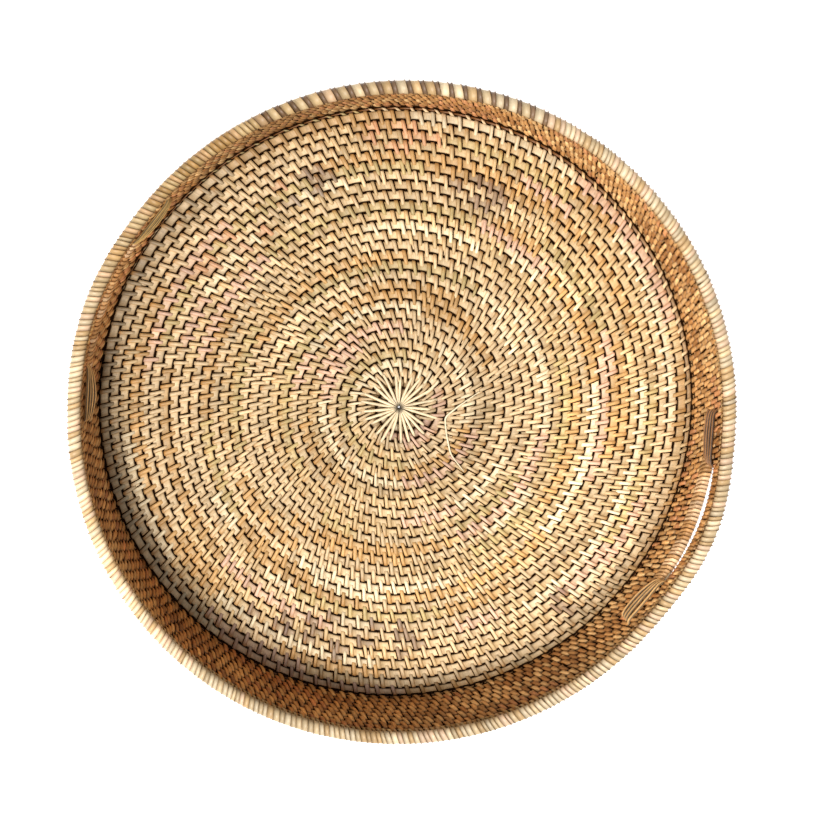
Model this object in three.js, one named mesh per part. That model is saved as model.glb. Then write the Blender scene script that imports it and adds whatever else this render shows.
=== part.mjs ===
// A round, shallow tray basket of coiled cane with two hand slots in its wall.
// Millimetres, +Z up. The origin is at the centre of the underside. +X runs through one hand slot
// and -X through the other. Each coil is the cane together with the splints bound round it.
import * as THREE from 'three';

// ---- driving dimensions ----
const CLEARANCE = 0.3;            // gap between pieces that touch
const FLOOR_THICKNESS = 7;
const FLOOR_RADIUS = 231;         // where the floor meets the inside of the wall
const FLOOR_ROW_PITCH = 7.62;
const HUB_RADIUS = 28.7;          // the round start that the floor spiral grows from
const HUB_HOLE_RADIUS = 1.6;
const FLOOR_LENGTHS = 6;          // spliced lengths of cane in the floor spiral

const WALL_THICKNESS = 7;
const WALL_ROW_PITCH = 6.85;
const WALL_ROWS_TO_SILL = 6;      // full rows from the floor to the sill of the hand slots
const BASE_ROW_HEIGHT = 3.6;      // centre height of the base coil that the wall stands on
const BASE_ROW_RADIUS = 234.9;
const WALL_FLARE = 0.139;         // outward lean, as a slope

const SLOT_HALF_ANGLE = 11.9;     // degrees from the middle of a hand slot to its clear end
const ARCH_HALF_ANGLE = 20;       // degrees over which the upper rows rise above a slot
const ARCH_RISE = 9;

const RIM_RADIUS = 250;           // outer radius away from the arches
const RIM_WIDTH = 10.8;
const RIM_HEIGHT = 10.4;
const RIM_WRAP_THICKNESS = 0.8;

const LASHING_STRANDS = 4;
const LASHING_ANGLE = 10.2;       // degrees that a lashing runs along the wall from the slot's end
const STRAND_WIDTH = 2;
const STRAND_THICKNESS = 1.4;
const STRAND_STANDOFF = 0.6;      // how far a strand stands off the wall's face

const SPOKES = 25;
const SPOKE_WIDTH = 2.8;
const SPLINT_THICKNESS = 0.8;

// ---- angles at which the coils have their sections ----
const COARSE_STEP = 10;
const FINE_STEP = 2.5;            // near the slots
const FINE_HALF_ANGLE = 25;

const radians = THREE.MathUtils.degToRad;

// ---- colours ----
function material(color, roughness) {
  return new THREE.MeshStandardMaterial({ color, roughness, metalness: 0 });
}
const floorCane = material(0xe2c58f, 0.55);
const wallCane = material(0xb08148, 0.55);
const rimCane = material(0xf0dcae, 0.5);
const lashingCane = material(0xa5783f, 0.5);

const basket = new THREE.Group();

function add(name, geometry, finish) {
  const piece = new THREE.Mesh(geometry, finish);
  piece.name = name;
  basket.add(piece);
  return piece;
}

function outline(points) {
  return new THREE.Shape(points.map(([x, y]) => new THREE.Vector2(x, y)));
}

// A coil's section in units of its width and height: flat top and bottom, pointed sides.
const FLAT_HALF_WIDTH = 0.3;
const coilSection = outline([
  [-0.5, 0], [-FLAT_HALF_WIDTH, -0.5], [FLAT_HALF_WIDTH, -0.5],
  [0.5, 0], [FLAT_HALF_WIDTH, 0.5], [-FLAT_HALF_WIDTH, 0.5],
]);

// Extrudes a section over whole steps, then carries every step round the basket's axis:
// place(step) says at what angle (degrees), radius and height its centre lies, and how large it is.
function coil(section, steps, place) {
  const geometry = new THREE.ExtrudeGeometry(section, { depth: steps, steps, bevelEnabled: false });
  const position = geometry.attributes.position;
  for (let i = 0; i < position.count; i += 1) {
    const at = place(Math.round(position.getZ(i)));
    const radius = at.radius - position.getX(i) * at.width;
    const angle = radians(at.angle);
    const height = at.z + position.getY(i) * at.height;
    position.setXYZ(i, radius * Math.cos(angle), radius * Math.sin(angle), height);
  }
  geometry.computeVertexNormals();
  return geometry;
}

// ---- the hub: a round start with its first rows, and the splints that radiate over it ----
function hubStart() {
  const rows = 3;
  const edge = HUB_RADIUS - CLEARANCE;
  const pitch = (edge - HUB_HOLE_RADIUS) / rows;
  const top = FLOOR_THICKNESS - SPLINT_THICKNESS;
  const groove = 1.5;
  const profile = [new THREE.Vector2(HUB_HOLE_RADIUS, 0), new THREE.Vector2(edge, 0)];
  for (let row = rows; row > 0; row -= 1) {
    const outer = HUB_HOLE_RADIUS + row * pitch;
    profile.push(new THREE.Vector2(outer, top - groove));
    profile.push(new THREE.Vector2(outer - 0.3 * pitch, top));
    profile.push(new THREE.Vector2(outer - 0.7 * pitch, top));
  }
  profile.push(new THREE.Vector2(HUB_HOLE_RADIUS, top - groove), profile[0].clone());
  const geometry = new THREE.LatheGeometry(profile, 360 / COARSE_STEP);
  geometry.rotateX(Math.PI / 2);
  geometry.rotateZ(Math.PI / 2);
  return geometry;
}

function hubSplints() {
  const reach = HUB_RADIUS - CLEARANCE;
  const valley = (SPOKES * SPOKE_WIDTH) / (2 * Math.PI);
  const points = [];
  const polar = (radius, angle) => [radius * Math.cos(angle), radius * Math.sin(angle)];
  for (let i = 0; i < SPOKES; i += 1) {
    const angle = (2 * Math.PI * i) / SPOKES;
    const half = SPOKE_WIDTH / 2 / reach;
    points.push(polar(reach, angle - half), polar(reach, angle + half));
    points.push(polar(valley, angle + Math.PI / SPOKES));
  }
  const star = outline(points);
  star.holes.push(new THREE.Path().absarc(0, 0, HUB_HOLE_RADIUS, 0, 2 * Math.PI, true));
  const geometry = new THREE.ExtrudeGeometry(star, {
    depth: SPLINT_THICKNESS, bevelEnabled: false, curveSegments: 6,
  });
  geometry.translate(0, 0, FLOOR_THICKNESS - SPLINT_THICKNESS + CLEARANCE);
  return geometry;
}

add('hub_start', hubStart(), floorCane);
add('hub_splints', hubSplints(), floorCane);

// ---- the floor: one spiral of cane, tapered in at the hub and out under the wall ----
const TAPER_WIDTH = 1.2;          // width of the tapered ends of the spiral
const taperTurns = TAPER_WIDTH / FLOOR_ROW_PITCH;
const floorRows = (FLOOR_RADIUS - HUB_RADIUS) / FLOOR_ROW_PITCH;
const spiralStart = Math.ceil((360 * taperTurns) / COARSE_STEP) * COARSE_STEP;
const spiralEnd = Math.floor((360 * (floorRows + 1 - taperTurns)) / COARSE_STEP) * COARSE_STEP;

function spiralPlace(angle, trim) {
  const turns = angle / 360;
  const inner = Math.max(HUB_RADIUS, HUB_RADIUS + (turns - 1) * FLOOR_ROW_PITCH);
  const outer = Math.min(FLOOR_RADIUS, HUB_RADIUS + turns * FLOOR_ROW_PITCH);
  return {
    angle: angle + THREE.MathUtils.radToDeg(trim / outer),
    radius: (inner + outer) / 2,
    z: FLOOR_THICKNESS / 2,
    width: outer - inner - CLEARANCE,
    height: FLOOR_THICKNESS,
  };
}

// Lengths of cane are equal, so splice i comes where that share of the floor's area is covered.
function spliceAngle(i) {
  const share = i / FLOOR_LENGTHS;
  const radius = Math.sqrt((1 - share) * HUB_RADIUS ** 2 + share * FLOOR_RADIUS ** 2);
  const angle = (360 * (radius - HUB_RADIUS)) / FLOOR_ROW_PITCH;
  return THREE.MathUtils.clamp(Math.round(angle / COARSE_STEP) * COARSE_STEP, spiralStart, spiralEnd);
}

for (let i = 0; i < FLOOR_LENGTHS; i += 1) {
  const first = spliceAngle(i);
  const last = i === FLOOR_LENGTHS - 1 ? spiralEnd : spliceAngle(i + 1);
  const place = (step) => spiralPlace(first + step * COARSE_STEP, step === 0 ? CLEARANCE : 0);
  add(`floor_coil_${i + 1}`, coil(coilSection, (last - first) / COARSE_STEP, place), floorCane);
}

// ---- the wall: coils stacked on a base coil, leaning outwards ----
const rowHeight = (row) => BASE_ROW_HEIGHT + row * WALL_ROW_PITCH;
const wallRadius = (z) => BASE_ROW_RADIUS + (z - BASE_ROW_HEIGHT) * WALL_FLARE;

function archRise(angle) {
  const turned = ((angle % 180) + 180) % 180;
  const away = Math.min(turned, 180 - turned);
  return away < ARCH_HALF_ANGLE ? ARCH_RISE * Math.cos((radians(90) * away) / ARCH_HALF_ANGLE) ** 2 : 0;
}

// The angles of a coil's sections from one angle to another, closer together near the slots.
function stations(from, to, fine) {
  const angles = [from];
  for (let a = Math.floor(from / FINE_STEP + 1) * FINE_STEP; a < to - 0.1; a += FINE_STEP) {
    const turned = ((a % 180) + 180) % 180;
    const nearSlot = Math.min(turned, 180 - turned) < FINE_HALF_ANGLE;
    if (a % COARSE_STEP === 0 || (fine && nearSlot)) angles.push(a);
  }
  angles.push(to);
  return angles;
}

// A hoop of cane with its splice at the angle given.
function hoop(name, splice, row, fine, rise) {
  const gap = THREE.MathUtils.radToDeg(CLEARANCE / wallRadius(rowHeight(row)));
  addArc(name, splice, splice + 360 - gap, row, fine, rise);
}

function addArc(name, from, to, row, fine, rise) {
  const angles = stations(from, to, fine);
  const place = (step) => {
    const z = rowHeight(row) + rise(angles[step]);
    return {
      angle: angles[step],
      z,
      radius: wallRadius(z),
      width: WALL_THICKNESS,
      height: WALL_ROW_PITCH - CLEARANCE,
    };
  };
  add(name, coil(coilSection, angles.length - 1, place), wallCane);
}

const level = () => 0;
hoop('base_coil', 60, 0, false, level);
for (let row = 1; row <= WALL_ROWS_TO_SILL; row += 1) {
  hoop(`wall_coil_${row}`, 40 + 70 * row, row, row === WALL_ROWS_TO_SILL, level);
}

// The row between sill and arch is left out at the slots, so it is two arcs.
const strandThicknessAngle = THREE.MathUtils.radToDeg(STRAND_THICKNESS / BASE_ROW_RADIUS);
const clearanceAngle = THREE.MathUtils.radToDeg(CLEARANCE / BASE_ROW_RADIUS);
const sideEnd = SLOT_HALF_ANGLE + strandThicknessAngle + 3 * clearanceAngle;
const SIDE_ROW = WALL_ROWS_TO_SILL + 1;
addArc('side_coil_back', sideEnd, 180 - sideEnd, SIDE_ROW, true, level);
addArc('side_coil_front', 180 + sideEnd, 360 - sideEnd, SIDE_ROW, true, level);

// Two rows run on over the slots as the hand grips, and rise there.
hoop('grip_coil_lower', 70, SIDE_ROW + 1, true, archRise);
hoop('grip_coil_upper', 250, SIDE_ROW + 2, true, archRise);

// ---- the rim: a stout cane under a wrapping that is open along its underside ----
const rimBase = rowHeight(SIDE_ROW + 2) + WALL_ROW_PITCH / 2;
const rimCentreHeight = rimBase + RIM_HEIGHT / 2 + CLEARANCE / 2;

function rimPlace(angles, width, height) {
  return (step) => {
    const rise = archRise(angles[step]);
    const radius = RIM_RADIUS - RIM_WIDTH / 2 + rise * WALL_FLARE;
    return { angle: angles[step], z: rimCentreHeight + rise, radius, width, height };
  };
}

// Points round an ellipse of the given half axes, between two angles measured from straight up.
function roundPoints(halfWidth, halfHeight, from, to, count) {
  return Array.from({ length: count + 1 }, (_, i) => {
    const angle = radians(from + ((to - from) * i) / count);
    return [halfWidth * Math.sin(angle), halfHeight * Math.cos(angle)];
  });
}

const rimGap = THREE.MathUtils.radToDeg(CLEARANCE / RIM_RADIUS);
const coreWidth = RIM_WIDTH - 2 * (RIM_WRAP_THICKNESS + CLEARANCE);
const coreHeight = RIM_HEIGHT - 2 * (RIM_WRAP_THICKNESS + CLEARANCE);
const CORE_SIDES = 8;
const coreSection = outline(roundPoints(0.5, 0.5, 22.5, 382.5, CORE_SIDES).slice(0, CORE_SIDES));
const coreAngles = stations(100, 460 - rimGap, true);
const corePlace = rimPlace(coreAngles, coreWidth, coreHeight);
add('rim_core', coil(coreSection, coreAngles.length - 1, corePlace), rimCane);

const WRAP_OPENING = 157.5;       // degrees from the top at which the wrapping stops on each side
const WRAP_SIDES = 7;
const wrapOuter = roundPoints(RIM_WIDTH / 2, RIM_HEIGHT / 2, -WRAP_OPENING, WRAP_OPENING, WRAP_SIDES);
const wrapInner = roundPoints(
  RIM_WIDTH / 2 - RIM_WRAP_THICKNESS,
  RIM_HEIGHT / 2 - RIM_WRAP_THICKNESS,
  WRAP_OPENING,
  -WRAP_OPENING,
  WRAP_SIDES,
);
const wrapAngles = stations(290, 650 - rimGap, true);
const wrapSection = outline([...wrapOuter, ...wrapInner]);
add('rim_wrap', coil(wrapSection, wrapAngles.length - 1, rimPlace(wrapAngles, 1, 1)), rimCane);

// ---- lashings: strands folded round the wall at each end of each slot ----
// Each strand's outline seen from above is a U, whose fold crosses the wall inside the slot.
function strand(slotAngle, side, number) {
  const sillTop = rowHeight(WALL_ROWS_TO_SILL) + WALL_ROW_PITCH / 2;
  const z = sillTop + CLEARANCE + number * (STRAND_WIDTH + CLEARANCE);
  const middle = wallRadius(z + STRAND_WIDTH / 2);
  const inside = WALL_THICKNESS / 2 + STRAND_STANDOFF;
  const outside = inside + STRAND_THICKNESS;
  const farEnd = SLOT_HALF_ANGLE + LASHING_ANGLE;
  const legAngles = (near) => [near, (near + farEnd) / 2, farEnd];
  const point = (away, offset) => {
    const angle = radians(slotAngle + side * away);
    const radius = middle + offset;
    return [radius * Math.cos(angle), radius * Math.sin(angle)];
  };
  const outerLegs = legAngles(SLOT_HALF_ANGLE);
  const innerLegs = legAngles(SLOT_HALF_ANGLE + strandThicknessAngle);
  const shape = outline([
    ...outerLegs.map((a) => point(a, outside)).reverse(),
    ...outerLegs.map((a) => point(a, -outside)),
    ...innerLegs.map((a) => point(a, -inside)).reverse(),
    ...innerLegs.map((a) => point(a, inside)),
  ]);
  const geometry = new THREE.ExtrudeGeometry(shape, { depth: STRAND_WIDTH, bevelEnabled: false });
  geometry.translate(0, 0, z);
  return geometry;
}

const SLOT_ENDS = [
  ['right_back', 0, 1],
  ['right_front', 0, -1],
  ['left_back', 180, -1],
  ['left_front', 180, 1],
];
for (const [end, slotAngle, side] of SLOT_ENDS) {
  for (let i = 0; i < LASHING_STRANDS; i += 1) {
    add(`lashing_${end}_${i + 1}`, strand(slotAngle, side, i), lashingCane);
  }
}

// ---- a thin splint that has come loose and lies on the floor beside the hub ----
const looseHeight = FLOOR_THICKNESS + 2 * CLEARANCE + SPLINT_THICKNESS / 2;
const loosePath = new THREE.CatmullRomCurve3([
  new THREE.Vector3(54, 34, looseHeight),
  new THREE.Vector3(36, 5.5, looseHeight),
  new THREE.Vector3(51, -20, looseHeight),
  new THREE.Vector3(66, -29, looseHeight),
]);
const looseSection = outline([[-0.4, -0.8], [0.4, -0.8], [0.4, 0.8], [-0.4, 0.8]]);
add('loose_splint', new THREE.ExtrudeGeometry(looseSection, {
  steps: 10, bevelEnabled: false, extrudePath: loosePath,
}), floorCane);

export default basket;
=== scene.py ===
"""A round tray basket of coiled cane: every cane, wrap and stitch as geometry, seen from above.

Lengths are in millimetres until a mesh is made. Angles are degrees about +Z, from +X, which runs
through the middle of one hand slot.
"""

import math

import bpy
import numpy as np
from mathutils import Matrix, Vector


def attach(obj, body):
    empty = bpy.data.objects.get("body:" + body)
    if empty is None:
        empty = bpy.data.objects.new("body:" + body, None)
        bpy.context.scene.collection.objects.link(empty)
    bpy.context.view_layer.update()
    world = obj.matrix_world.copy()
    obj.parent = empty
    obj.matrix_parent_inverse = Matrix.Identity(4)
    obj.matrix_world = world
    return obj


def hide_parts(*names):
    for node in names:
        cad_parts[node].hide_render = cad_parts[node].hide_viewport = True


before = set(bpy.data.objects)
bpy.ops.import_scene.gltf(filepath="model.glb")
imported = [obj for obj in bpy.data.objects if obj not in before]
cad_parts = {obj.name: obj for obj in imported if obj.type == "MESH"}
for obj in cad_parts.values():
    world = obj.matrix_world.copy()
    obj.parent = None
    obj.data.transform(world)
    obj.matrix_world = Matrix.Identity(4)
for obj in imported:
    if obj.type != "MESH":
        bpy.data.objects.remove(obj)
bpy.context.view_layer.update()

# ---- driving dimensions: the floor's, the wall's and the slots' are those of the CAD ----
FLOOR_RADIUS = 231.0
FLOOR_PITCH = 7.62
HUB_RADIUS = 28.7
FLOOR_LENGTHS = 6
FLOOR_MIDDLE = 3.75  # height of the floor's middle plane

BASE_ROW_HEIGHT = 3.6
BASE_ROW_RADIUS = 234.9
WALL_PITCH = 6.85
WALL_FLARE = 0.139
SILL_ROW = 6  # the uppermost row below the slots
SIDE_ROW = 7  # the row that the slots interrupt
TOP_ROW = 9
SLOT_HALF_ANGLE = 11.9
ARCH_HALF_ANGLE = 20.0
ARCH_RISE = 9.0

# The rim's height and radius are those of its centre line, away from the arches.
RIM_HEIGHT = 74.0
RIM_RADIUS = 244.6
RIM_HALF_WIDTH = 5.1
RIM_HALF_HEIGHT = 4.9

# ---- the weave ----
COIL_HALF_THICKNESS = 2.95  # of a cane with its binding, crowns not counted
WRAP_CROWN = 0.25
STITCH_CROWN = 0.35
FLOOR_LEAN = 0.24  # sideways travel of a splint per millimetre across its row
WALL_LEAN = 0.34
RIM_LEAN = 0.36
SLIT = 0.9  # open slit before each stitch
STITCH_ROOM = 0.9  # share of a stitch's width that two blocks leave free for it
STITCH_SCATTER = 0.05  # spread of a lone stitch's place, as a share of its neighbours' distance
WIDE_GAP = 1.3  # a gap of more units than this takes two stitches
HUB_UNITS = 25  # stitches in the first turn, and spokes
WALL_UNIT = 8.7  # length along a wall row of a block with its stitch
WALL_STITCH = 3.85
WALL_SLIT = 1.25
WALL_STITCH_ROOM = 0.88
SLOT_WRAP = 3.3  # spacing of the wraps at the slots

# Half breadth and half thickness of the canes inside.
FLOOR_CANE = (4.2, 2.3)
HUB_CANE = (4.2, 2.0)
BASE_CANE = (5.4, 2.4)
WALL_CANE = (3.8, 2.4)
RIM_CANE = (4.2, 4.0)
CANE_STEP = 5.0  # degrees between the rings of a floor cane

MM = 0.001
rng = np.random.default_rng(20)


# ---- colour ----
def linear(rgb):
    """Scene-linear colour of 0-255 sRGB values."""
    c = np.asarray(rgb, float) / 255
    return np.where(c <= 0.04045, c / 12.92, ((c + 0.055) / 1.055) ** 2.4)


STRAW = linear(
    [(216, 187, 144), (206, 175, 127), (194, 152, 96), (216, 176, 148), (190, 166, 112), (232, 212, 174)]
)
STRAW_WEIGHTS = (0.26, 0.26, 0.14, 0.14, 0.10, 0.10)
GOLDEN = linear((172, 120, 58))
MAUVE = linear((120, 94, 78))
PINKISH = linear((204, 146, 108))
CREASE_SHADE_BROWN = linear((122, 78, 36))  # painted shade of the floor's last turn where it narrows out into the crease
ROOT_BROWN = linear((160, 106, 52))  # of a wall stitch where it leaves the groove
BROWN = linear([(208, 160, 102), (190, 140, 84), (224, 182, 124), (200, 140, 92), (168, 116, 64)])
BROWN_WEIGHTS = (0.30, 0.25, 0.20, 0.13, 0.12)
CREAM = linear([(215, 194, 159), (205, 180, 140), (219, 188, 155), (199, 166, 119)])
CREAM_WEIGHTS = (0.35, 0.27, 0.22, 0.16)
SMOKED = linear((124, 98, 74))
SILL = linear([(208, 164, 112), (186, 140, 88), (222, 186, 144)])
SILL_WEIGHTS = (0.4, 0.3, 0.3)
BLOCK_TONE_SHARE = 0.7  # a floor block has this much of its stitch's tone
BLOCK_STRAW_SHARE = 0.34  # and this much plain straw
WALL_BRIGHTNESS = 1.06  # makes up for what the wall's splints lose to painted shade at their edges
WALL_STITCH_BRIGHTNESS = 1.08
ROOT_SHARES = (0.1, 1.0)  # how much of its root's colour a stitch shows, a little or all
ROOT_WEIGHTS = (0.55, 0.45)


def splint_tones(count, palette, weights, shortest=3, longest=16, spread=0.09):
    """A colour for each of count wraps in a row: neighbours are wraps of the same splint."""
    tones = np.empty((count, 3))
    done = 0
    while done < count:
        run = int(rng.integers(shortest, longest))
        tones[done : done + run] = palette[rng.choice(len(palette), p=weights)]
        tones[done : done + run] *= 1 + rng.normal(0, spread)
        done += run
    return tones * (1 + rng.normal(0, spread, (count, 1)))


def dip(angle, middle, half_span):
    """1 at the middle angle, falling smoothly to 0 at half_span degrees from it."""
    away = np.abs(np.mod(angle - middle + 180, 360) - 180)
    return np.cos(np.radians(90 * np.minimum(away / half_span, 1))) ** 2


# ---- placing rows in space ----
def wall_radius(height):
    return BASE_ROW_RADIUS + (height - BASE_ROW_HEIGHT) * WALL_FLARE


def away_from_slot(angle):
    """Degrees to the middle of the nearer hand slot."""
    turned = np.mod(angle, 180)
    return np.minimum(turned, 180 - turned)


def arch_rise(angle):
    away = np.minimum(away_from_slot(angle), ARCH_HALF_ANGLE)
    return ARCH_RISE * np.cos(np.radians(90 * away / ARCH_HALF_ANGLE)) ** 2


def floor_outer(angle):
    """Radius at which the spiral row ends outwards; angle counts on over its turns."""
    return np.minimum(FLOOR_RADIUS, HUB_RADIUS + angle / 360 * FLOOR_PITCH)


def floor_inner(angle):
    return HUB_RADIUS + (angle / 360 - 1) * FLOOR_PITCH


def floor_middle(angle):
    return (floor_inner(angle) + floor_outer(angle)) / 2


def floor_place(angle, across, out):
    width = floor_outer(angle) - floor_inner(angle)
    return floor_middle(angle) + across * width / FLOOR_PITCH, FLOOR_MIDDLE + out


def base_place(angle, across, out):
    return BASE_ROW_RADIUS + across, BASE_ROW_HEIGHT + out


# Along the +X slot (degrees) its sill bulges into the basket and its grip out of it by so much (mm).
SLOT_TWIST_ANGLES = [-12, -8, -4, 0, 4.5, 8, 11, 13.5]
SLOT_TWIST = [0, 0.1, 0.0, 0.3, 0.9, 1.2, 1.0, 0]


def slot_twist(angle):
    return np.interp((np.asarray(angle) + 180) % 360 - 180, SLOT_TWIST_ANGLES, SLOT_TWIST)


def wall_place(row):
    """Across runs up the wall, out runs into the basket."""
    lean = math.hypot(1, WALL_FLARE)

    def place(angle, across, out):
        height = BASE_ROW_HEIGHT + row * WALL_PITCH
        if row > SIDE_ROW:
            height = height + arch_rise(angle)
            out = out - slot_twist(angle)
        elif row == SILL_ROW:
            out = out + slot_twist(angle)
        radius = wall_radius(height)
        return (
            radius + (across * WALL_FLARE - out) / lean,
            height + (across + out * WALL_FLARE) / lean,
        )

    return place


def rim_place(angle, across, out):
    rise = arch_rise(angle)
    return RIM_RADIUS + rise * WALL_FLARE + across, RIM_HEIGHT + rise + out


# ---- meshes ----
def build_mesh(name, vertices, faces, material, tint=None, fibre=None):
    mesh = bpy.data.meshes.new(name)
    mesh.vertices.add(len(vertices))
    mesh.vertices.foreach_set("co", (vertices * MM).astype(np.float32).ravel())
    mesh.loops.add(faces.size)
    mesh.loops.foreach_set("vertex_index", faces.astype(np.int32).ravel())
    mesh.polygons.add(len(faces))
    mesh.polygons.foreach_set("loop_start", np.arange(0, faces.size, 4, dtype=np.int32))
    mesh.update(calc_edges=True)
    mesh.polygons.foreach_set("use_smooth", np.ones(len(faces), bool))
    if tint is not None:
        rgba = np.ones((len(vertices), 4), np.float32)
        rgba[:, :3] = np.clip(tint, 0, 1)
        mesh.attributes.new("tint", "FLOAT_COLOR", "POINT").data.foreach_set("color", rgba.ravel())
    if fibre is not None:
        data = mesh.attributes.new("fibre", "FLOAT_VECTOR", "POINT").data
        data.foreach_set("vector", fibre.astype(np.float32).ravel())
    mesh.materials.append(material)
    piece = bpy.data.objects.new(name, mesh)
    bpy.context.scene.collection.objects.link(piece)
    return piece


def add_piece(name, parts, material, nodes):
    """One piece from several bands, standing for the CAD nodes named."""
    vertices = np.concatenate([p["vertices"] for p in parts])
    offsets = np.cumsum([0] + [len(p["vertices"]) for p in parts[:-1]])
    faces = np.concatenate([p["faces"] + o for p, o in zip(parts, offsets)])
    tint = fibre = None
    if "tint" in parts[0]:
        tint = np.concatenate([p["tint"] for p in parts])
        fibre = np.concatenate([p["fibre"] for p in parts])
    piece = build_mesh(name, vertices, faces, material, tint, fibre)
    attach(piece, "root")
    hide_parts(*nodes)


def grid_faces(strips, along, across, closed_along=False, closed_across=False):
    """Quads of strips of along x across vertices."""
    last_a = along if closed_along else along - 1
    last_b = across if closed_across else across - 1
    i, j = np.meshgrid(np.arange(last_a), np.arange(last_b), indexing="ij")
    i2 = (i + 1) % along
    j2 = (j + 1) % across
    quad = np.stack([i * across + j, i2 * across + j, i2 * across + j2, i * across + j2], -1)
    start = np.arange(strips)[:, None, None] * along * across
    return (quad.reshape(1, -1, 4) + start).reshape(-1, 4)


def to_space(angle, radius, height):
    a = np.radians(angle)
    x, y, z = np.broadcast_arrays(radius * np.cos(a), radius * np.sin(a), height)
    return np.stack([x, y, z], -1).reshape(-1, 3)


# A splint's section: how far across it each vertex is, and how high on its crown.
SECTION_ACROSS = np.array([-1.0, -0.88, 0.0, 0.88, 1.0])
SECTION_CROWN = np.array([-1.1, 0.6, 1.0, 0.6, -1.1])
EDGE_SHADE = np.array((0.32, 0.46, 0.62))  # painted shade: share of a splint's tone lost at its very edges, where it meets its neighbours
WALL_EDGE_SHADE = np.array((0.6, 0.77, 0.92))  # the same painted shade on the wall
SEAM_SHADE = np.array((0.55, 0.68, 0.8))  # the same painted shade on the rim, in the seams between wraps


def path_normals(path, closed):
    """Unit normals of a path in the (across, out) plane, pointing away from the cane."""
    if closed:
        tangent = np.roll(path, -1, 0) - np.roll(path, 1, 0)
    else:
        tangent = np.gradient(path, axis=0)
    tangent /= np.linalg.norm(tangent, axis=1, keepdims=True)
    return np.stack([tangent[:, 1], -tangent[:, 0]], -1)


def bands(
    place, angles, radii, widths, path, closed, lean, crown, tones, shade, lift=0.0, edge_shade=EDGE_SHADE
):
    """Splints bound round a row, one for each angle.

    path is their course in the (across, out) plane, shade(tones, path, out) their colour along it.
    """
    count, steps = len(angles), len(path)
    normal = path_normals(path, closed)
    lengths = np.linalg.norm(np.diff(path, axis=0), axis=1)
    along = np.concatenate([[0], np.cumsum(lengths)])
    lean = lean * (1 + rng.normal(0, 0.16, (count, 1, 1)))
    rise = crown * SECTION_CROWN[None, None, :] + lift + rng.normal(0, 0.07, (count, 1, 1))
    sideways = widths[:, None, None] / 2 * SECTION_ACROSS[None, None, :]
    across = path[None, :, 0, None] + rise * normal[None, :, 0, None]
    out = path[None, :, 1, None] + rise * normal[None, :, 1, None]
    travel = lean * path[None, :, 0, None] + sideways
    angle = angles[:, None, None] + np.degrees(travel / radii[:, None, None])
    radius, height = place(angle, across, out)
    tint = shade(tones[:, None, None, :], path, out[..., None])
    # Painted shade along the splint's edges.
    edge = 1 - edge_shade * np.abs(SECTION_ACROSS[None, None, :, None]) ** 8
    shape = (count, steps, len(SECTION_ACROSS))
    fibre = np.stack(
        [
            np.broadcast_to(sideways, shape),
            np.broadcast_to(along[None, :, None], shape),
            np.broadcast_to(rng.uniform(0, 900, (count, 1, 1)), shape),
        ],
        -1,
    )
    return {
        "vertices": to_space(angle, radius, height),
        "faces": grid_faces(count, steps, len(SECTION_ACROSS), closed_along=closed),
        "tint": np.broadcast_to(tint * edge, (*shape, 3)).reshape(-1, 3),
        "fibre": fibre.reshape(-1, 3),
    }


def tube(place, angles, half_across, half_out, sides=8):
    """A cane along a row."""
    turn = np.radians(np.arange(sides) * 360 / sides + 180 / sides)
    across = half_across * np.cos(turn)[None, :]
    out = half_out * np.sin(turn)[None, :]
    radius, height = place(angles[:, None], across, out)
    return {
        "vertices": to_space(angles[:, None], radius, height),
        "faces": grid_faces(1, len(angles), sides, closed_across=True),
    }


def loop_path(half_across, half_out, power=2.7, count=14):
    """The way round a cane, as a rounded rectangle."""
    turn = np.radians(np.arange(count) * 360 / count + 180 / count)
    bend = lambda x: np.sign(x) * np.abs(x) ** (2 / power)
    return np.stack([half_across * bend(np.cos(turn)), half_out * bend(np.sin(turn))], -1)[::-1]


# A long stitch in units of the row pitch and the coil's half thickness: from the outer or upper
# edge of its own row, over the next row inwards or downwards, and into that row's middle.
STITCH_TOP = [
    (0.49, 0.0),
    (0.485, 0.5),
    (0.43, 0.88),
    (0.29, 1.05),
    (0.06, 1.12),
    (-0.2, 1.17),
    (-0.45, 1.17),
    (-0.7, 1.15),
    (-0.88, 1.04),
    (-1.0, 0.66),
]


def stitch_path(pitch, half_out):
    top = np.array(STITCH_TOP) * (pitch, half_out)
    under = top[:0:-1] * (1, -1)
    return np.concatenate([under, top])


DEEP_GROOVE_SHADE = np.array((0.08, 0.04, 0.015))  # painted shade: what is left of a tone deep between two rows


def depth_shade(half_out):
    """Painted shade: darker and browner where a splint goes down between two rows."""

    def factor(out):
        level = np.clip((np.abs(out) / half_out - 0.4) / 0.55, 0, 1) ** 1.3
        return DEEP_GROOVE_SHADE + (1 - DEEP_GROOVE_SHADE) * level

    return factor


def groove_shade(half_out):
    factor = depth_shade(half_out)

    def shade(tones, path, out):
        return tones * factor(out)

    return shade


def no_shade(tones, path, out):
    return tones * np.ones_like(out)


def stitch_shade(half_out, pitch, start_tone, strength):
    """The start tone where a stitch leaves the groove, its own tone towards its other end, and painted
    shade deep between two rows.
    """
    factor = depth_shade(half_out)

    def shade(tones, path, out):
        gone = np.clip((0.5 * pitch - path[:, 0]) / (0.8 * pitch), 0, 1)[None, :, None, None]
        mix = strength * rng.choice(ROOT_SHARES, (len(tones), 1, 1, 1), p=ROOT_WEIGHTS) * (1 - gone) ** 1.3
        tone = tones * (1 - mix) + start_tone * mix
        return tone * factor(out)

    return shade


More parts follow.
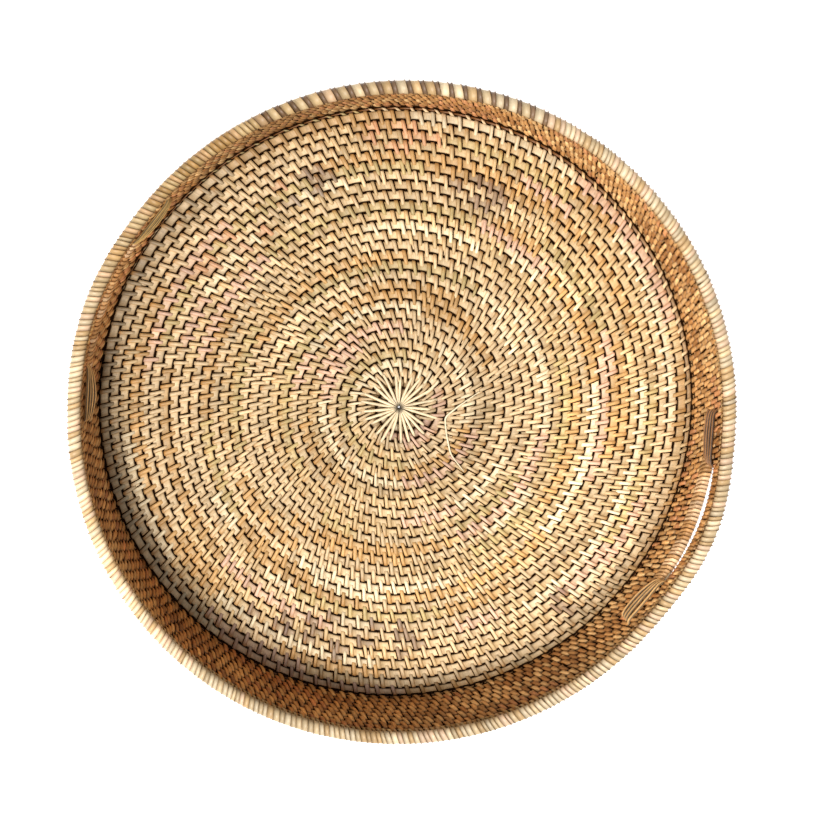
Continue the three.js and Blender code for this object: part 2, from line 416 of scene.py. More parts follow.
# ---- materials ----
def cane_material(name, roughness, streak, bump):
    """Splint: the tint of each wrap with fine streaks along it."""
    material = bpy.data.materials.new(name)
    material.use_nodes = True
    nodes = material.node_tree.nodes
    links = material.node_tree.links
    shader = nodes["Principled BSDF"]
    shader.inputs["Roughness"].default_value = roughness
    shader.inputs["Specular IOR Level"].default_value = 0.35
    tint = nodes.new("ShaderNodeAttribute")
    tint.attribute_name = "tint"
    fibre = nodes.new("ShaderNodeAttribute")
    fibre.attribute_name = "fibre"
    stretch = nodes.new("ShaderNodeVectorMath")
    stretch.operation = "MULTIPLY"
    stretch.inputs[1].default_value = (2.6, 0.16, 1.0)
    grain = nodes.new("ShaderNodeTexNoise")
    grain.inputs["Scale"].default_value = 1.0
    grain.inputs["Detail"].default_value = 4.0
    grain.inputs["Roughness"].default_value = 0.6
    patches = nodes.new("ShaderNodeTexNoise")
    patches.inputs["Scale"].default_value = 0.35
    patches.inputs["Detail"].default_value = 3.0
    links.new(fibre.outputs["Vector"], stretch.inputs[0])
    links.new(stretch.outputs["Vector"], grain.inputs["Vector"])
    links.new(fibre.outputs["Vector"], patches.inputs["Vector"])
    level = nodes.new("ShaderNodeMapRange")
    level.inputs["From Min"].default_value = 0.3
    level.inputs["From Max"].default_value = 0.7
    level.inputs["To Min"].default_value = 1 - streak
    level.inputs["To Max"].default_value = 1 + streak * 0.8
    links.new(grain.outputs["Fac"], level.inputs["Value"])
    blotch = nodes.new("ShaderNodeMapRange")
    blotch.inputs["From Min"].default_value = 0.3
    blotch.inputs["From Max"].default_value = 0.7
    blotch.inputs["To Min"].default_value = 1 - streak * 0.5
    blotch.inputs["To Max"].default_value = 1 + streak * 0.3
    links.new(patches.outputs["Fac"], blotch.inputs["Value"])
    both = nodes.new("ShaderNodeMath")
    both.operation = "MULTIPLY"
    links.new(level.outputs["Result"], both.inputs[0])
    links.new(blotch.outputs["Result"], both.inputs[1])
    colour = nodes.new("ShaderNodeVectorMath")
    colour.operation = "SCALE"
    links.new(tint.outputs["Color"], colour.inputs[0])
    links.new(both.outputs["Value"], colour.inputs["Scale"])
    links.new(colour.outputs["Vector"], shader.inputs["Base Color"])
    relief = nodes.new("ShaderNodeBump")
    relief.inputs["Strength"].default_value = bump
    relief.inputs["Distance"].default_value = 0.0003
    links.new(grain.outputs["Fac"], relief.inputs["Height"])
    links.new(relief.outputs["Normal"], shader.inputs["Normal"])
    return material


def plain_material(name, rgb, roughness):
    material = bpy.data.materials.new(name)
    material.use_nodes = True
    shader = material.node_tree.nodes["Principled BSDF"]
    shader.inputs["Base Color"].default_value = (*linear(rgb), 1)
    shader.inputs["Roughness"].default_value = roughness
    return material


splint = cane_material("splint", 0.5, 0.28, 0.5)
wall_splint = cane_material("wall_splint", 0.48, 0.32, 0.5)
rim_splint = cane_material("rim_splint", 0.45, 0.14, 0.35)
lashing_splint = cane_material("lashing_splint", 0.5, 0.3, 0.6)
cut_cane = plain_material("cut_cane", (178, 160, 130), 0.7)
# The canes inside the coils are nearly black and without gloss: painted shade where they show in the gaps
# between rows and at the joints.
cane_painted_shade = plain_material("cane_painted_shade", (34, 17, 6), 1.0)
cane_painted_shade.node_tree.nodes["Principled BSDF"].inputs["Specular IOR Level"].default_value = 0.0


# ---- the floor ----
def unit_pitch(radius):
    """Length along the row of one wrapped block with its stitch."""
    return np.interp(radius, [25, 45, 95, 150, 205, 235], [7.6, 9.8, 9.7, 9.9, 11.2, 11.6])


def stitch_width(radius):
    """Stitches are narrower near the hub."""
    return np.interp(radius, [25, 45, 90], [2.4, 2.7, 3.05])


# The spiral's end, in degrees over its turns: its last turn narrows to almost nothing.
FLOOR_END = 360 * ((FLOOR_RADIUS - HUB_RADIUS) / FLOOR_PITCH + 0.95)
HUB_TURNS = 2.4  # turns of the spiral under the hub's spokes


def stitch_angles():
    """Each stitch goes between two stitches of the turn inside it; wide gaps take two."""
    angles = list(np.arange(HUB_UNITS) * 360 / HUB_UNITS)
    i = 0
    while angles[-1] < FLOOR_END:
        a, b = angles[i], angles[i + 1]
        middle = floor_middle(a + 360)
        gap = math.radians(b - a) * middle
        lean_shift = math.degrees(FLOOR_LEAN * FLOOR_PITCH / middle)
        shares = [1 / 3, 2 / 3] if gap > WIDE_GAP * unit_pitch(middle) else [0.5]
        for share in shares:
            place = share + rng.normal(0, STITCH_SCATTER / len(shares))
            angles.append(a + 360 + place * (b - a) + lean_shift)
        i += 1
    return np.array([x for x in angles if x < FLOOR_END])


def splice_angle(i):
    share = i / FLOOR_LENGTHS
    radius = math.sqrt((1 - share) * HUB_RADIUS**2 + share * FLOOR_RADIUS**2)
    return 360 * (radius - HUB_RADIUS) / FLOOR_PITCH


# Splints of another colour on the floor: middle angle, radius, half length, half breadth (mm),
# colour and share of the wraps there that have it.
ODD_SPLINTS = [
    (132, 185, 24, 11, MAUVE, 0.6),
    (91, 181, 28, 12, MAUVE, 0.55),
    (280, 191, 58, 20, MAUVE, 0.35),
    (262, 196, 26, 14, MAUVE, 0.35),
    (329, 204, 14, 17, MAUVE, 0.5),
    (110, 212, 30, 10, PINKISH, 0.7),
    (150, 200, 60, 30, PINKISH, 0.15),
]


def stained(tones, angles, radii, strength=0.75):
    """The tones with those of odd splints put in."""
    for at, radius, half_length, half_breadth, colour, share in ODD_SPLINTS:
        along = np.radians(np.mod(angles - at + 180, 360) - 180) * radii
        inside = (along / half_length) ** 2 + ((radii - radius) / half_breadth) ** 2 < 1
        chosen = inside & (rng.random(len(angles)) < share)
        tones[chosen] = tones[chosen] * (1 - strength) + colour * strength * rng.uniform(
            0.85, 1.25, (chosen.sum(), 1)
        )
    return tones


def floor_painted_shade_and_light(angles, radii):
    """Painted shade at the wall's foot, darker towards the middle, a painted shadow on one side and painted
    light on the other.
    """
    foot = (1 - dip(angles, 75, 110)) * np.clip((radii - 212) / 12, 0, 1)
    middle = np.clip((105 - radii) / 40, 0, 1)
    outer = np.clip((radii - 90) / 50, 0, 1)
    keep = (1 - 0.55 * foot) * (1 - 0.16 * middle)
    keep = keep * (1 - 0.17 * outer * dip(angles, 185, 85)) * (1 + 0.34 * outer * dip(angles, 15, 110))
    return keep[:, None]


stitches = stitch_angles()
stitch_radii = floor_middle(stitches)
stitch_tones = stained(splint_tones(len(stitches), STRAW, STRAW_WEIGHTS), stitches, stitch_radii)
# The floor's stitches, and the blocks made from them, take this painted shade and light.
stitch_tones = stitch_tones * floor_painted_shade_and_light(stitches, stitch_radii)
gaps = np.radians(np.diff(stitches)) * stitch_radii[:-1]
wrap_angles = (stitches[:-1] + stitches[1:]) / 2
wrap_radii = floor_middle(wrap_angles)
wrap_angles = wrap_angles - np.degrees(SLIT / 2 / wrap_radii)
wrap_widths = gaps - STITCH_ROOM * stitch_width(wrap_radii) - SLIT
wrap_tones = stitch_tones[:-1] * BLOCK_TONE_SHARE + BLOCK_STRAW_SHARE * STRAW[0]
wrap_tones = wrap_tones * (1 + rng.normal(0, 0.06, (len(wrap_tones), 1)))
row_shares = (floor_outer(wrap_angles) - floor_inner(wrap_angles)) / FLOOR_PITCH
# The last turn narrows into the crease at the foot of the wall, where its wraps fade into painted shade.
row_keep = np.clip((row_shares - 0.32) / 0.35, 0, 1)[:, None]
wrap_tones = wrap_tones * row_keep + CREASE_SHADE_BROWN * (1 - row_keep)

floor_loop = loop_path(FLOOR_PITCH / 2 - 0.6, COIL_HALF_THICKNESS, 5, 16)
floor_stitch = stitch_path(FLOOR_PITCH, COIL_HALF_THICKNESS)


def floor_bands(first, last):
    here = (wrap_angles >= first) & (wrap_angles < last)
    return bands(
        floor_place,
        wrap_angles[here],
        wrap_radii[here],
        wrap_widths[here],
        floor_loop,
        True,
        FLOOR_LEAN,
        WRAP_CROWN,
        wrap_tones[here],
        groove_shade(COIL_HALF_THICKNESS),
    )


def floor_stitches(first, last):
    here = (stitches >= first) & (stitches < last)
    widths = stitch_width(stitch_radii[here]) * (1 + rng.normal(0, 0.07, here.sum()))
    return bands(
        floor_place,
        stitches[here],
        stitch_radii[here],
        widths,
        floor_stitch,
        False,
        FLOOR_LEAN,
        STITCH_CROWN,
        stitch_tones[here],
        stitch_shade(COIL_HALF_THICKNESS, FLOOR_PITCH, GOLDEN, 0.75),
    )


for length in range(FLOOR_LENGTHS):
    node = f"floor_coil_{length + 1}"
    first = splice_angle(length)
    last = FLOOR_END if length == FLOOR_LENGTHS - 1 else splice_angle(length + 1)
    core = tube(floor_place, np.arange(first, last + CANE_STEP, CANE_STEP), *FLOOR_CANE)
    add_piece(f"floor_cane_{length + 1}", [core], cane_painted_shade, [node])
    add_piece(f"floor_wraps_{length + 1}", [floor_bands(first, last)], splint, [node])
    add_piece(f"floor_stitches_{length + 1}", [floor_stitches(first, last)], splint, [node])


# ---- the hub ----
HUB_LEAN = 0.1
HUB_BLOCK_SHARE = 0.86  # of the room that a block has along its turn
HUB_SHADE_KEEP = 0.9  # painted shade: share of a splint's tone kept under the spokes


def hub():
    """The first turns of the spiral, seen between the spokes."""
    angles = (np.arange(-HUB_TURNS * HUB_UNITS, 0) + 0.5) * 360 / HUB_UNITS
    radii = floor_middle(angles)
    widths = 2 * np.pi * radii / HUB_UNITS * HUB_BLOCK_SHARE
    rows = bands(
        floor_place,
        angles,
        radii,
        widths,
        loop_path(FLOOR_PITCH / 2 - 0.25, COIL_HALF_THICKNESS - 0.5),
        True,
        HUB_LEAN,
        WRAP_CROWN,
        splint_tones(len(angles), STRAW, STRAW_WEIGHTS) * HUB_SHADE_KEEP,
        groove_shade(COIL_HALF_THICKNESS),
    )
    core = tube(floor_place, np.arange(-HUB_TURNS * 360, CANE_STEP + 1, CANE_STEP), *HUB_CANE)
    add_piece("hub_cane", [core], cane_painted_shade, ["hub_start"])
    add_piece("hub_wraps", [rows], splint, ["hub_start"])


SPOKE_START = 1.0  # radius of a spoke's inner end
SPOKE_REACH = (24, 33)  # range of radii at which spokes end
SPOKE_WIDTH = 2.25
SPOKE_CROWN = 0.45
SPOKE_LEVEL = 3.45  # height of a spoke over the floor's middle plane


def spokes():
    """Splints that radiate from the hole over the first turns, on both faces of the floor."""
    parts = []
    steps = 14
    for side in (1, -1):
        angles = (np.arange(HUB_UNITS) + 0.3) * 360 / HUB_UNITS + rng.normal(0, 1.6, HUB_UNITS)
        reach = rng.uniform(*SPOKE_REACH, HUB_UNITS)
        share = np.linspace(0, 1, steps)[None, :]
        radius = SPOKE_START + (reach[:, None] - SPOKE_START) * share
        swirl = 5 * (1 - share) ** 2 + rng.normal(0, 1.5, (HUB_UNITS, 1)) * share
        width = np.minimum(SPOKE_WIDTH, 2 * np.pi * radius / HUB_UNITS * 0.92)
        into_hole = 2.6 * np.clip(1 - radius / 3.2, 0, 1) ** 1.5
        tucked_in = 1.5 * np.clip(share - 0.86, 0, 1) / 0.14
        level = SPOKE_LEVEL - into_hole - tucked_in + rng.normal(0, 0.1, (HUB_UNITS, 1))
        sideways = width[..., None] / 2 * SECTION_ACROSS
        angle = (angles[:, None] + swirl)[..., None] + np.degrees(sideways / radius[..., None])
        out = side * (level[..., None] + SPOKE_CROWN * SECTION_CROWN)
        tones = STRAW[5] * rng.uniform(0.85, 1.1, (HUB_UNITS, 1, 1, 1))
        # Painted shade: a spoke darkens where it dips into the hole or tucks in under the turns, and is
        # nearly black at the hole.
        raised = 0.45 + 0.55 * np.clip((level - 1.2) / 2, 0, 1)
        off_hole = np.clip((radius - 2.4) / 1.6, 0.06, 1)
        keep = (raised * off_hole)[..., None, None]
        edge = 1 - EDGE_SHADE * np.abs(SECTION_ACROSS[None, None, :, None]) ** 6
        shape = (HUB_UNITS, steps, len(SECTION_ACROSS))
        full_radius = np.broadcast_to(radius[..., None], shape)
        ids = np.broadcast_to(rng.uniform(0, 900, (HUB_UNITS, 1, 1)), shape)
        parts.append(
            {
                "vertices": to_space(angle, full_radius, FLOOR_MIDDLE + out),
                "faces": grid_faces(HUB_UNITS, steps, len(SECTION_ACROSS)),
                "tint": np.broadcast_to(tones * keep * edge, (*shape, 3)).reshape(-1, 3),
                "fibre": np.stack([sideways, full_radius, ids], -1).reshape(-1, 3),
            }
        )
    add_piece("hub_spokes", parts, splint, ["hub_splints"])


hub()
spokes()


# ---- the wall ----
wall_loop = loop_path(WALL_PITCH / 2 - 0.55, COIL_HALF_THICKNESS, 4, 16)
slot_loop = loop_path(WALL_PITCH / 2 + 1.2, COIL_HALF_THICKNESS + 0.7, 3, 16)
wall_stitch = stitch_path(WALL_PITCH, COIL_HALF_THICKNESS)
wall_shade = groove_shade(COIL_HALF_THICKNESS)


def row_units(first, last, row):
    """Angles of a wall row's stitches, half a unit on from the row below."""
    radius = wall_radius(BASE_ROW_HEIGHT + row * WALL_PITCH)
    count = round(math.radians(360) * (BASE_ROW_RADIUS + 5) / WALL_UNIT)
    step = 360 / count
    shift = row * (0.5 * step + math.degrees(WALL_LEAN * WALL_PITCH / radius))
    angles = np.arange(count) * step + shift % step
    angles = angles + rng.normal(0, 0.07 * step, count)
    angles = np.concatenate([angles - 360, angles, angles + 360])
    return angles[(angles >= first) & (angles < last)], radius, step


def wall_painted_light_and_shade(angles):
    """Painted light and shade round the wall, as how much of their colour the splints keep: two stretches
    darkened as painted shade, one of them the lashing's painted shadow, one browner in painted shade and
    one paler with painted light.
    """
    dark = np.maximum(dip(angles, 132, 40), 0.6 * dip(angles, 199, 8))[:, None]
    brown = dip(angles, 258, 86)[:, None]
    pale = dip(angles, 178, 32)[:, None]
    return (1 - 0.45 * dark) * (1 - brown * np.array((0.20, 0.40, 0.62))) * (1 + 0.42 * pale)


def even_angles(first, last, radius, spacing):
    count = round(math.radians(last - first) * radius / spacing)
    return first + (np.arange(count) + 0.5) * (last - first) / count


def wall_row(name, row, spans, node, in_slots=None, stitched=True, tone=1.0):
    """One row of the wall over the spans of angle given.

    in_slots is what binds the row where it borders a hand slot: "loops" or "stitches".
    """
    place = wall_place(row) if row else base_place
    pitch_lean = WALL_LEAN if row else FLOOR_LEAN
    parts = []
    canes = []

    def bind(angles, widths, path, closed, crown, tones, shade, lift=0.0):
        radii = np.full(len(angles), radius)
        widths = np.broadcast_to(widths, len(angles))
        # Painted light and shade by angle round the wall.
        tones = tones * wall_painted_light_and_shade(angles) * tone * WALL_BRIGHTNESS
        parts.append(
            bands(
                place, angles, radii, widths, path, closed, pitch_lean, crown, tones, shade, lift, WALL_EDGE_SHADE
            )
        )

    for first, last in spans:
        angles, radius, step = row_units(first, last, row)
        unit = math.radians(step) * radius
        tones = splint_tones(len(angles), BROWN, BROWN_WEIGHTS, 1, 7, 0.1)
        block_tones = tones * rng.uniform(0.75, 1.05, (len(tones), 1))
        blocks = angles + step / 2 + math.degrees(WALL_SLIT / 2 / radius)
        at_slot = np.zeros(len(angles), bool)
        if in_slots:
            at_slot = away_from_slot(angles) < SLOT_HALF_ANGLE + 1
        kept = (blocks < last - 0.2 * step) & ~at_slot
        block_width = unit - WALL_STITCH_ROOM * WALL_STITCH - WALL_SLIT
        bind(blocks[kept], block_width, wall_loop, True, WRAP_CROWN, block_tones[kept], wall_shade)
        over = ~at_slot
        widths = WALL_STITCH * (1 + rng.normal(0, 0.08, over.sum()))
        if stitched:
            shade = stitch_shade(COIL_HALF_THICKNESS, WALL_PITCH, ROOT_BROWN, 0.5)
            bright = tones[over] * WALL_STITCH_BRIGHTNESS
            bind(angles[over], widths, wall_stitch, False, STITCH_CROWN, bright, shade)
        else:
            bind(angles[over], widths, wall_loop, True, WRAP_CROWN, tones[over], wall_shade)
        if in_slots:
            for middle in (180, 360, 540, 720):  # a span may run past 360 degrees
                a, b = middle - SLOT_HALF_ANGLE - 1, middle + SLOT_HALF_ANGLE + 1
                if a < first or b > last:
                    continue
                close = even_angles(a, b, radius, SLOT_WRAP)
                if in_slots == "stitches":
                    tones = splint_tones(len(close), SILL, SILL_WEIGHTS, 1, 4)
                    bind(close, SLOT_WRAP - 0.3, slot_loop, True, WRAP_CROWN, tones, no_shade)
                    bind(close, SLOT_WRAP - 0.4, wall_stitch, False, STITCH_CROWN, tones, wall_shade, 0.1)
                else:
                    tones = splint_tones(len(close), BROWN, BROWN_WEIGHTS, 1, 4)
                    bind(close, SLOT_WRAP - 0.2, slot_loop, True, STITCH_CROWN, tones, no_shade)
        steps = int((last - first) / 2.5)
        canes.append(tube(place, np.linspace(first, last, steps), *(WALL_CANE if row else BASE_CANE)))
    add_piece(f"{name}_cane", canes, cane_painted_shade, [node])
    add_piece(f"{name}_binding", parts, wall_splint, [node])


def whole_turn(splice):
    """The span of a row that runs all the way round from its splice."""
    return [(splice, splice + 360)]


SIDE_END = SLOT_HALF_ANGLE + 0.6
wall_row("base", 0, whole_turn(60), "base_coil", stitched=False, tone=0.8)
for row in range(1, SILL_ROW):
    wall_row(f"wall_{row}", row, whole_turn((40 + 70 * row) % 360), f"wall_coil_{row}")
wall_row("wall_6", SILL_ROW, whole_turn(100), "wall_coil_6", in_slots="stitches")
wall_row("side_back", SIDE_ROW, [(SIDE_END, 180 - SIDE_END)], "side_coil_back")
wall_row("side_front", SIDE_ROW, [(180 + SIDE_END, 360 - SIDE_END)], "side_coil_front")
wall_row("grip_lower", SIDE_ROW + 1, whole_turn(70), "grip_coil_lower", in_slots="loops")
wall_row("grip_upper", TOP_ROW, whole_turn(250), "grip_coil_upper")


def filler(name, row, half_across, node):
    """A thin cane that closes the joint between the wall and the row above or below it, nearly black as
    painted shade.
    """
    cane = tube(wall_place(row), np.linspace(0, 360, 241), half_across, 2.3)
    add_piece(name, [cane], cane_painted_shade, [node])


filler("foot_filler", 0.5, 3.3, "base_coil")
filler("rim_filler", TOP_ROW + 0.6, 3.0, "grip_coil_upper")


# ---- the rim ----
SMOKED_SPAN = (86, 137)  # degrees over which dark narrow wraps alternate with pale wide ones


def rim_tone_and_shade(angles):
    """The rim is golden brown in one stretch, a little darker with painted shade in another and paler in a
    third.
    """
    golden = dip(angles, 150, 48)[:, None]
    duller = dip(angles, 285, 70)[:, None]
    paler = dip(angles, 231, 26)[:, None]
    return (1 - golden * np.array((0.38, 0.47, 0.64))) * (1 - 0.22 * duller) * (1 + 0.4 * paler)


# Mean width of a rim wrap and its spread.
DARK_WRAP = (3.7, 0.25)
PALE_WRAP = (6.8, 0.4)
PLAIN_WRAP = (4.1, 0.5)
PLAIN_WRAP_RANGE = (3.1, 5.6)


def rim_wraps():
    """Angles, widths and tones of the splint turns round the rim."""
    widths, tones = [], []
    around = math.radians(360) * (RIM_RADIUS + 2)
    dark = False
    while sum(widths) < around:
        at = 360 * sum(widths) / around
        dark = SMOKED_SPAN[0] < at < SMOKED_SPAN[1] and not dark
        if dark:
            widths.append(rng.normal(*DARK_WRAP))
        elif SMOKED_SPAN[0] < at < SMOKED_SPAN[1]:
            widths.append(rng.normal(*PALE_WRAP))
        else:
            widths.append(np.clip(rng.normal(*PLAIN_WRAP), *PLAIN_WRAP_RANGE))
        tone = SMOKED if dark else CREAM[rng.choice(len(CREAM), p=CREAM_WEIGHTS)]
        tones.append(tone * (1 + rng.normal(0, 0.11)))
    widths = np.array(widths) * around / sum(widths)
    ends = np.cumsum(widths)
    angles = (ends - widths / 2) * 360 / around
    # The tones take painted shade in one stretch of the rim.
    return angles, widths, np.array(tones) * rim_tone_and_shade(angles)


# The tail of a rim wrap, from under the rim down over the top row, in the units of STITCH_TOP.
TAIL = [(-0.1, 1.1), (-0.35, 1.32), (-0.6, 1.36), (-0.85, 1.26), (-1.02, 0.95), (-1.06, 0.3)]
TAIL_SHIFT = 0.6  # degrees from a wrap to its tail
TAIL_KEEP = np.array((0.82, 0.70, 0.52))  # of the wrap's tone, because a tail is in the rim's shade
RIM_CROWN = 0.45
TAIL_CROWN = 0.3


def rim():
    angles, widths, tones = rim_wraps()
    radii = np.full(len(angles), RIM_RADIUS)
    path = loop_path(RIM_HALF_WIDTH, RIM_HALF_HEIGHT, 2.3, 18)
    turns = bands(
        rim_place,
        angles,
        radii,
        widths,
        path,
        True,
        RIM_LEAN,
        RIM_CROWN,
        tones,
        no_shade,
        edge_shade=SEAM_SHADE,
    )
    add_piece("rim_binding", [turns], rim_splint, ["rim_wrap"])
    tails = bands(
        wall_place(TOP_ROW + 1),
        angles - TAIL_SHIFT,
        radii,
        np.clip(widths * 0.6, 2.2, 3.2),
        np.array(TAIL) * (WALL_PITCH, COIL_HALF_THICKNESS),
        False,
        WALL_LEAN,
        TAIL_CROWN,
        tones * TAIL_KEEP,
        no_shade,
    )
    add_piece("rim_tails", [tails], rim_splint, ["rim_wrap"])
    core = tube(rim_place, np.linspace(0, 360, 241), *RIM_CANE, 12)
    add_piece("rim_cane_core", [core], cane_painted_shade, ["rim_core"])


rim()


# ---- swept strips: lashings and the loose splint ----
def swept(points, widths, thickness, across_hint, tone, sides=12):
    """A strip with a rounded section along points; across_hint is its breadth's direction."""
    points = np.asarray(points, float)
    tangent = np.gradient(points, axis=0)
    tangent /= np.linalg.norm(tangent, axis=1, keepdims=True)
    normal = np.cross(across_hint, tangent)
    normal /= np.linalg.norm(normal, axis=1, keepdims=True)
    across = np.cross(tangent, normal)
    turn = np.radians(np.arange(sides) * 360 / sides + 180 / sides)
    c, s = np.cos(turn), np.sin(turn)
    ring = (
        across[:, None, :] * (c[None, :, None] * widths[:, None, None] / 2)
        + normal[:, None, :] * (s[None, :, None] * thickness / 2)
    )
    vertices = (points[:, None, :] + ring).reshape(-1, 3)
    along = np.concatenate([[0], np.cumsum(np.linalg.norm(np.diff(points, axis=0), axis=1))])
    shape = (len(points), sides)
    fibre = np.stack(
        [
            np.broadcast_to(c[None, :] * widths[:, None] / 2, shape),
            np.broadcast_to(along[:, None], shape),
            np.full(shape, rng.uniform(0, 900)),
        ],
        -1,
    )
    # Painted shade: nearly black along its edges, where it meets the strip beside it.
    face = np.clip((np.abs(s) - 0.35) / 0.5, 0, 1)
    tint = np.broadcast_to(tone * (0.12 + 0.88 * face)[None, :, None], (*shape, 3))
    return {
        "vertices": vertices,
        "faces": grid_faces(1, len(points), sides, closed_across=True),
        "tint": tint.reshape(-1, 3),
        "fibre": fibre.reshape(-1, 3),
    }


LASHING_ANGLE = 10.2  # degrees from a slot's end to the far end of its lashing
STRANDS = 4
STRAND_THICKNESS = 2.2
STRAND_STAND = 1.5  # from the coil to the middle of a strand


def strand_points(slot_angle, side, number, drop, gather, fan, bow, lift, stray):
    """A U round the wall at the slot's end: along the inside, through the slot, along the outside.

    The strands lie gather millimetres apart at the slot and fan apart at their far ends, where the
    bundle is drop millimetres lower; in between they bow apart and down by bow millimetres. On the
    inside of the wall they stand off by up to lift millimetres, the lowest the most. Stray is how
    far this strand bows off its place.
    """
    place = wall_place(SIDE_ROW)
    rank = number - (STRANDS - 1) / 2
    far = SLOT_HALF_ANGLE + LASHING_ANGLE
    near = SLOT_HALF_ANGLE + 0.1
    points = []
    leg = np.linspace(0, 1, 14)
    stand = COIL_HALF_THICKNESS + STRAND_STAND

    def add(away, across, out):
        angle = slot_angle + side * away
        radius, height = place(angle, across, out)
        points.append((angle, radius, height))

    for face in (1, -1):
        for t in leg if face == 1 else leg[::-1]:
            away = far + (near - far) * t
            open_up = math.sin(math.pi / 2 * (1 - t)) ** 0.8
            arched = (bow * (1.0 - 0.45 * number) + stray) * math.sin(math.pi * t)
            across = rank * (gather + fan * open_up) - drop * open_up - arched
            sunk = 3.2 * max(0, 1 - t / 0.12) ** 2 + 1.0 * max(0, t - 0.9) / 0.1
            bulge = 0.8 + (lift * (1 - 0.3 * number) if face == 1 else 0)
            add(away, across, face * (stand + bulge * math.sin(math.pi * t) - sunk))
        if face == 1:
            for out in (stand - 3, 0, 3 - stand):
                add(near - 0.4, rank * gather, out)
    data = np.array(points)
    return to_space(data[:, 0], data[:, 1], data[:, 2])


# End of a slot, the slot's middle, side of it, colour, drop, gathered and fanned spacing, bow,
# lift and width.
LASHINGS = [
    ("right_back", 0, 1, (176, 126, 82), 3.5, 3.0, 0.8, 1.5, 1.2, 3.0),
    ("right_front", 0, -1, (252, 200, 132), 5.5, 2.5, 2.3, 2.6, 0.8, 3.5),
    ("left_back", 180, -1, (216, 174, 104), 2.0, 2.6, 1.2, 0.5, 2.2, 3.1),
    ("left_front", 180, 1, (238, 184, 116), 3.0, 2.6, 1.8, 1.0, 3.2, 3.0),
]
for end, slot_angle, side, rgb, drop, gather, fan, bow, lift, width in LASHINGS:
    for number in range(STRANDS):
        stray = rng.normal(0, 0.55)
        points = strand_points(slot_angle, side, number, drop, gather, fan, bow, lift, stray)
        tone = linear(rgb) * rng.uniform(0.7, 1.15)
        legs = np.abs(np.linspace(-1, 1, len(points)))  # 0 in the slot, 1 at both far ends
        widths = width * (0.85 + 0.3 * legs) * rng.uniform(0.85, 1.1)
        strip = swept(points, widths, STRAND_THICKNESS, (0, 0, 1), tone)
        name = f"{end}_{number + 1}"
        add_piece(f"strand_{name}", [strip], lashing_splint, [f"lashing_{name}"])


def cut_end():
    """The side row's cane runs on into one slot end, cut slanting."""
    start = 360 - SIDE_END + 0.5
    angles = np.linspace(start - 2, start + 2.4, 12)
    taper = np.linspace(1, 0.25, 12)[:, None]
    row_place = wall_place(SIDE_ROW)

    def raised_place(angle, across, out):
        return row_place(angle, across + 0.5, out)

    tongue = tube(raised_place, angles, 3.0 * taper, 2.5 * taper)
    add_piece("side_front_cut_end", [tongue], cut_cane, ["side_coil_front"])


cut_end()


LOOSE_CORNERS = [(54, 34), (43, 18), (36, 5.5), (43, -8), (51, -20), (66, -29)]


def loose_splint():
    """A thin splint that has come loose and lies on the floor beside the hub."""
    corners = np.array(LOOSE_CORNERS, float)
    t = np.linspace(0, len(corners) - 1, 40)
    x = np.interp(t, np.arange(len(corners)), corners[:, 0])
    y = np.interp(t, np.arange(len(corners)), corners[:, 1])
    height = 7.9 + 0.5 * np.sin(t * 2.1)
    points = np.stack([x, y, height], -1)
    for _ in range(3):
        points[1:-1] = (points[:-2] + points[1:-1] * 2 + points[2:]) / 4
    flat = np.cross((0, 0, 1), np.gradient(points, axis=0))
    flat /= np.linalg.norm(flat, axis=1, keepdims=True)
    widths = np.interp(t, [0, 1, 4, 5], [0.8, 1.6, 1.6, 0.7])
    strip = swept(points, widths, 0.5, flat, STRAW[5])
    add_piece("loose_end", [strip], splint, ["loose_splint"])


loose_splint()


# ---- stage, light and camera ----
def stage():
    size = 3.0
    mesh = bpy.data.meshes.new("stage")
    corners = [(-size, -size, 0), (size, -size, 0), (size, size, 0), (-size, size, 0)]
    mesh.from_pydata(corners, [], [(0, 1, 2, 3)])
    floor = bpy.data.objects.new("stage_floor", mesh)
    bpy.context.scene.collection.objects.link(floor)
    white = plain_material("stage_white", (250, 250, 250), 0.9)
    shader = white.node_tree.nodes["Principled BSDF"]
    shader.inputs["Emission Color"].default_value = (1, 1, 1, 1)
    shader.inputs["Emission Strength"].default_value = 0.85
    mesh.materials.append(white)
    floor.location.z = -0.0005  # below the crowns of the lowest splints


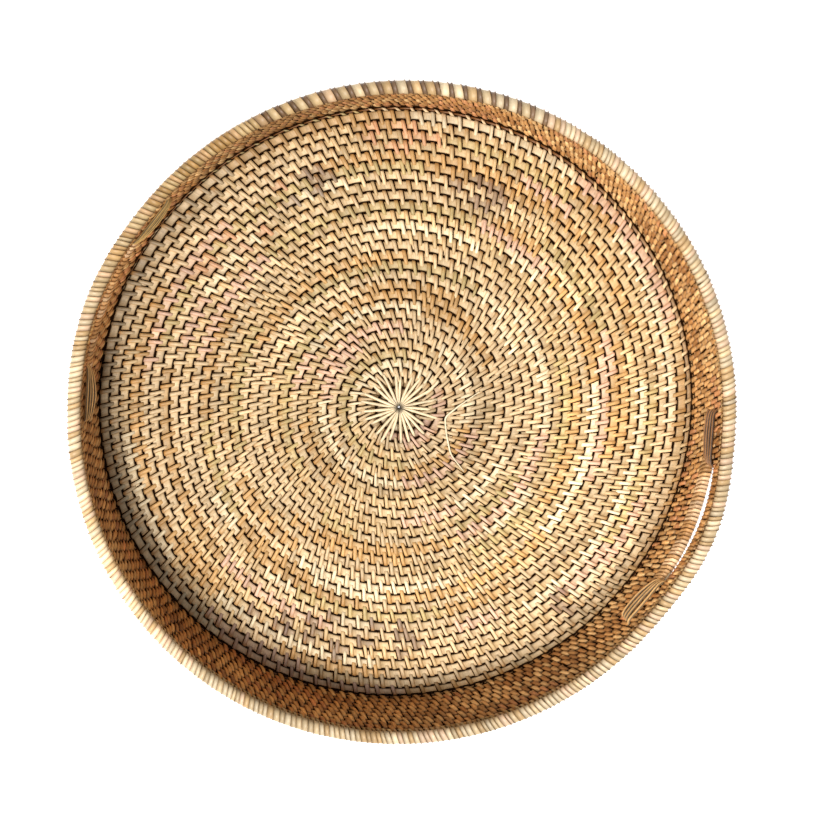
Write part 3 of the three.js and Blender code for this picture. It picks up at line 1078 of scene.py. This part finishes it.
def area_light(name, azimuth, elevation, distance, size, power):
    light = bpy.data.lights.new(name, "AREA")
    light.shape = "DISK"
    light.size = size
    light.energy = power
    lamp = bpy.data.objects.new(name, light)
    a, e = math.radians(azimuth), math.radians(elevation)
    direction = Vector((math.cos(a) * math.cos(e), math.sin(a) * math.cos(e), math.sin(e)))
    lamp.location = direction * distance
    lamp.rotation_mode = "QUATERNION"
    lamp.rotation_quaternion = direction.to_track_quat("Z", "Y")
    bpy.context.scene.collection.objects.link(lamp)


IMAGE_UP = 111.5  # the azimuth that is up in the picture
LIGHT_AZIMUTH = IMAGE_UP + 135  # from below and left in the picture


def lighting():
    area_light("key", LIGHT_AZIMUTH, elevation=62, distance=2.6, size=0.9, power=95)
    world = bpy.data.worlds.new("studio")
    world.use_nodes = True
    background = world.node_tree.nodes["Background"]
    background.inputs["Color"].default_value = (1, 1, 1, 1)
    background.inputs["Strength"].default_value = 0.55
    bpy.context.scene.world = world
    bpy.context.scene.view_settings.view_transform = "Standard"


CAMERA_TILT = 9.3  # degrees off straight above
CAMERA_FOOT = 140  # azimuth it leans to
CAMERA_DISTANCE = 1.5  # metres
CAMERA_LENS = 84.78


def camera():
    """Nearly straight above the basket."""
    foot = math.radians(CAMERA_FOOT)
    tilt = math.radians(CAMERA_TILT)
    centre = Vector((0, 0, FLOOR_MIDDLE * 2 * MM))
    back = Vector((math.sin(tilt) * math.cos(foot), math.sin(tilt) * math.sin(foot), math.cos(tilt)))
    aim = Vector((8.0, 1.5, 2 * FLOOR_MIDDLE)) * MM
    data = bpy.data.cameras.new("camera")
    data.sensor_width = 36
    data.lens = CAMERA_LENS
    cam = bpy.data.objects.new("camera", data)
    cam.location = centre + back * CAMERA_DISTANCE
    z = (cam.location - aim).normalized()
    up = Vector((math.cos(math.radians(IMAGE_UP)), math.sin(math.radians(IMAGE_UP)), 0))
    x = up.cross(z).normalized()
    y = z.cross(x)
    cam.rotation_mode = "QUATERNION"
    cam.rotation_quaternion = Matrix((x, y, z)).transposed().to_quaternion()
    data.clip_start = 0.01
    data.clip_end = 20
    bpy.context.scene.collection.objects.link(cam)
    bpy.context.scene.camera = cam


stage()
lighting()
camera()
